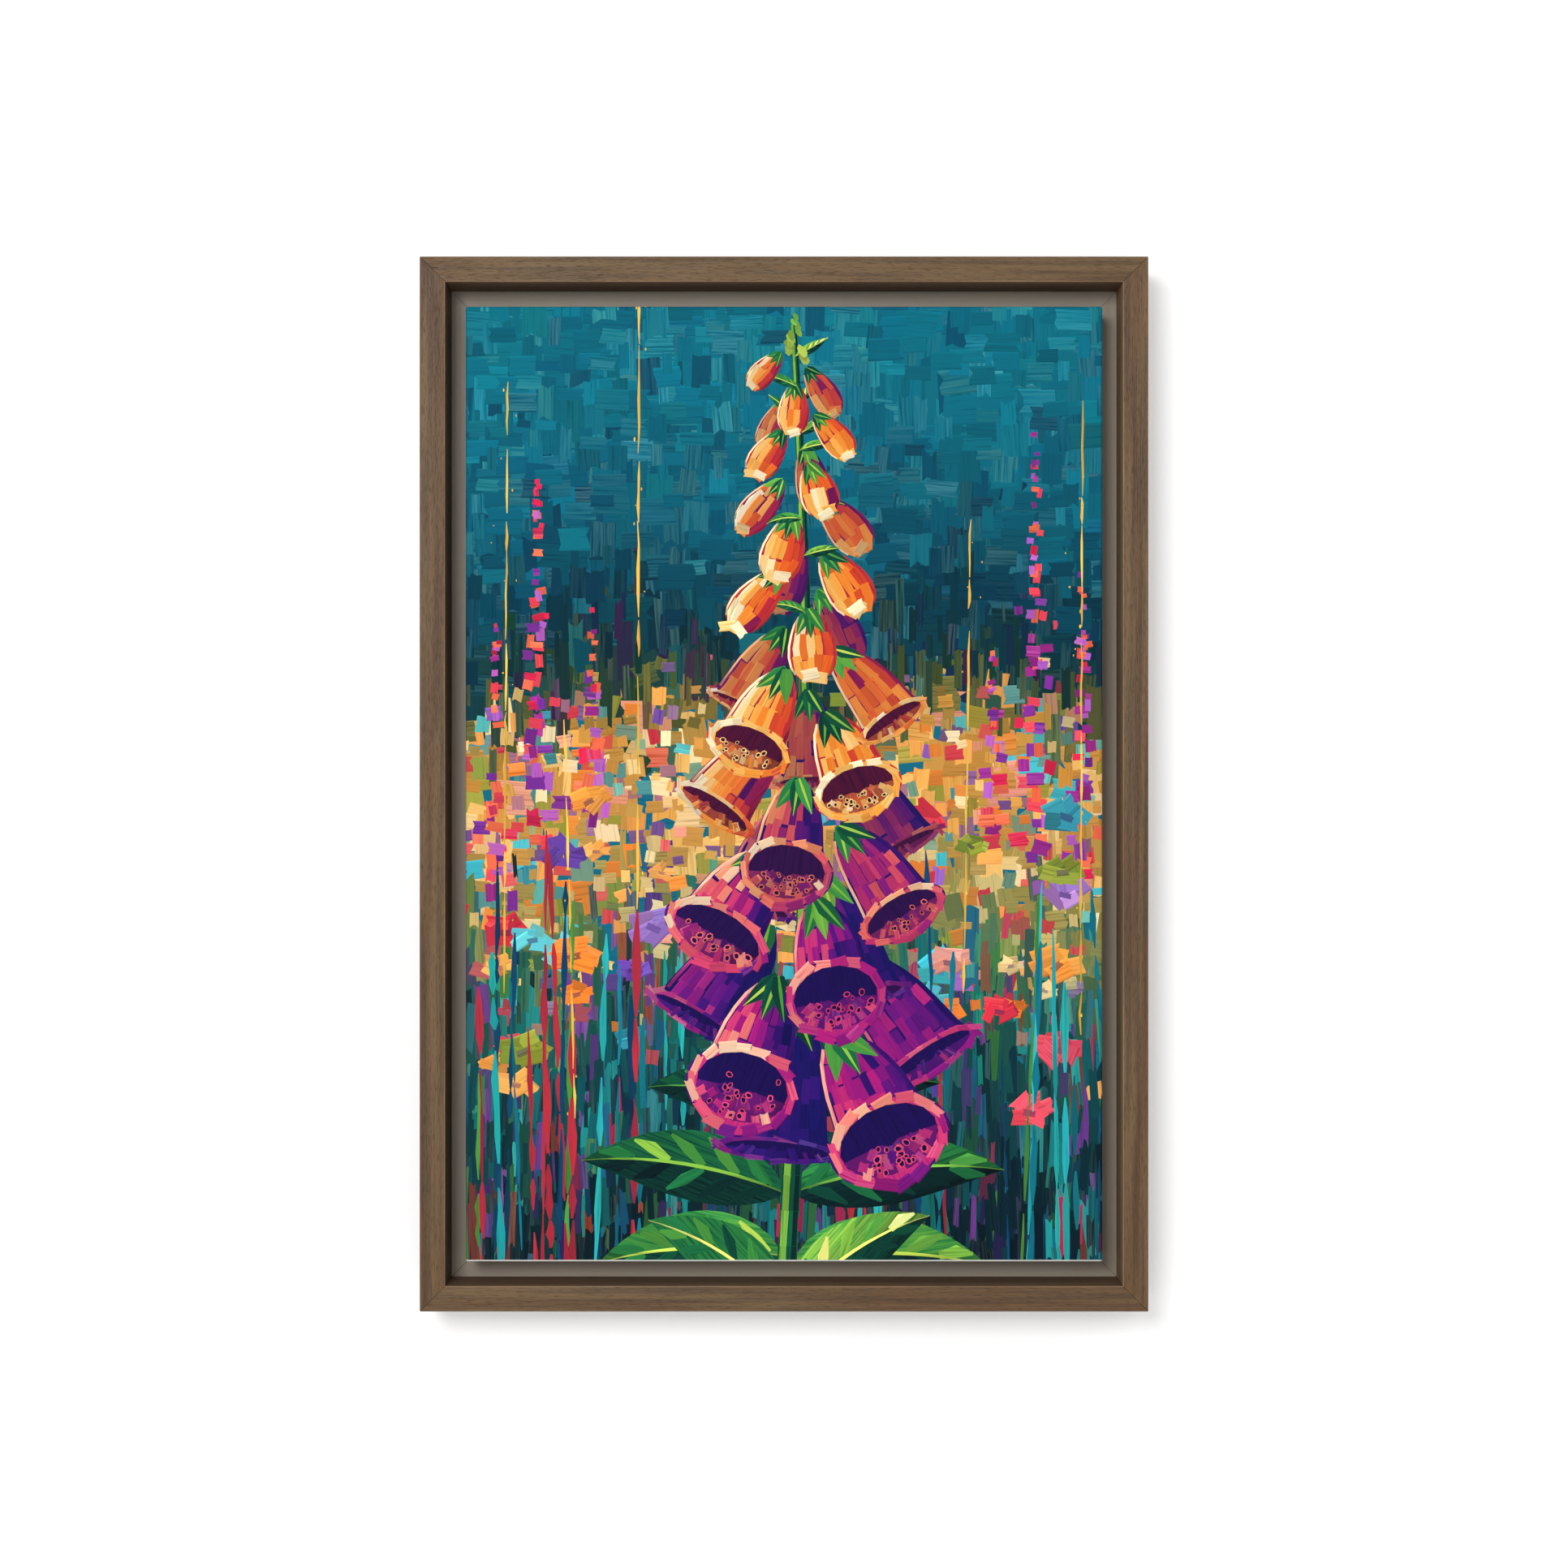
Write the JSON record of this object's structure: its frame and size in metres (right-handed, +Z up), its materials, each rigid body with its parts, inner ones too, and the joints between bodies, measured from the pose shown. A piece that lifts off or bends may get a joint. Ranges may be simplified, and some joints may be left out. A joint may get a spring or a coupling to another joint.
{
  "type": "framed canvas print",
  "caption": "Tall canvas picture in a dark wooden floater frame, with stretcher bars, staples, wall bumpers and a sawtooth hanger behind.",
  "frame": {"origin": "the hanger's centre notch, on the back plane of the frame", "axes": "+Z up, -Y out of the picture's front, +Y into the wall, +X to the right as seen from the front"},
  "size_m": [0.3478, 0.0358, 0.5036],
  "materials": {
    "dark_oak": "stained oak grain on the front edge, satin",
    "pine": "planed, unfinished",
    "printed_canvas": "woven cotton canvas, matt printed face, unprinted back",
    "steel": "zinc plated",
    "black_rubber": "matt moulded rubber"
  },
  "bodies": {
    "root": {"bumper_left": "black_rubber", "bumper_right": "black_rubber", "canvas": "printed_canvas", "canvas_screw_bottom_1": "steel", "canvas_screw_bottom_2": "steel", "canvas_screw_left_1": "steel", "canvas_screw_left_2": "steel", "canvas_screw_right_1": "steel", "canvas_screw_right_2": "steel", "canvas_screw_top_1": "steel", "canvas_screw_top_2": "steel", "corner_fastener_bottom_left": "steel", "corner_fastener_bottom_right": "steel", "corner_fastener_top_left": "steel", "corner_fastener_top_right": "steel", "frame_rail_bottom": "dark_oak", "frame_rail_left": "dark_oak", "frame_rail_right": "dark_oak", "frame_rail_top": "dark_oak", "hanger_screw_left": "steel", "hanger_screw_right": "steel", "sawtooth_hanger": "steel", "staple_bottom_1": "steel", "staple_bottom_2": "steel", "staple_bottom_3": "steel", "staple_bottom_4": "steel", "staple_left_1": "steel", "staple_left_2": "steel", "staple_left_3": "steel", "staple_left_4": "steel", "staple_left_5": "steel", "staple_left_6": "steel", "staple_right_1": "steel", "staple_right_2": "steel", "staple_right_3": "steel", "staple_right_4": "steel", "staple_right_5": "steel", "staple_right_6": "steel", "staple_top_1": "steel", "staple_top_2": "steel", "staple_top_3": "steel", "staple_top_4": "steel", "stretcher_bar_bottom": "pine", "stretcher_bar_left": "pine", "stretcher_bar_right": "pine", "stretcher_bar_top": "pine", "v_nail_bottom_left_inner": "steel", "v_nail_bottom_left_outer": "steel", "v_nail_bottom_right_inner": "steel", "v_nail_bottom_right_outer": "steel", "v_nail_top_left_inner": "steel", "v_nail_top_left_outer": "steel", "v_nail_top_right_inner": "steel", "v_nail_top_right_outer": "steel"}
  },
  "joints": []
}
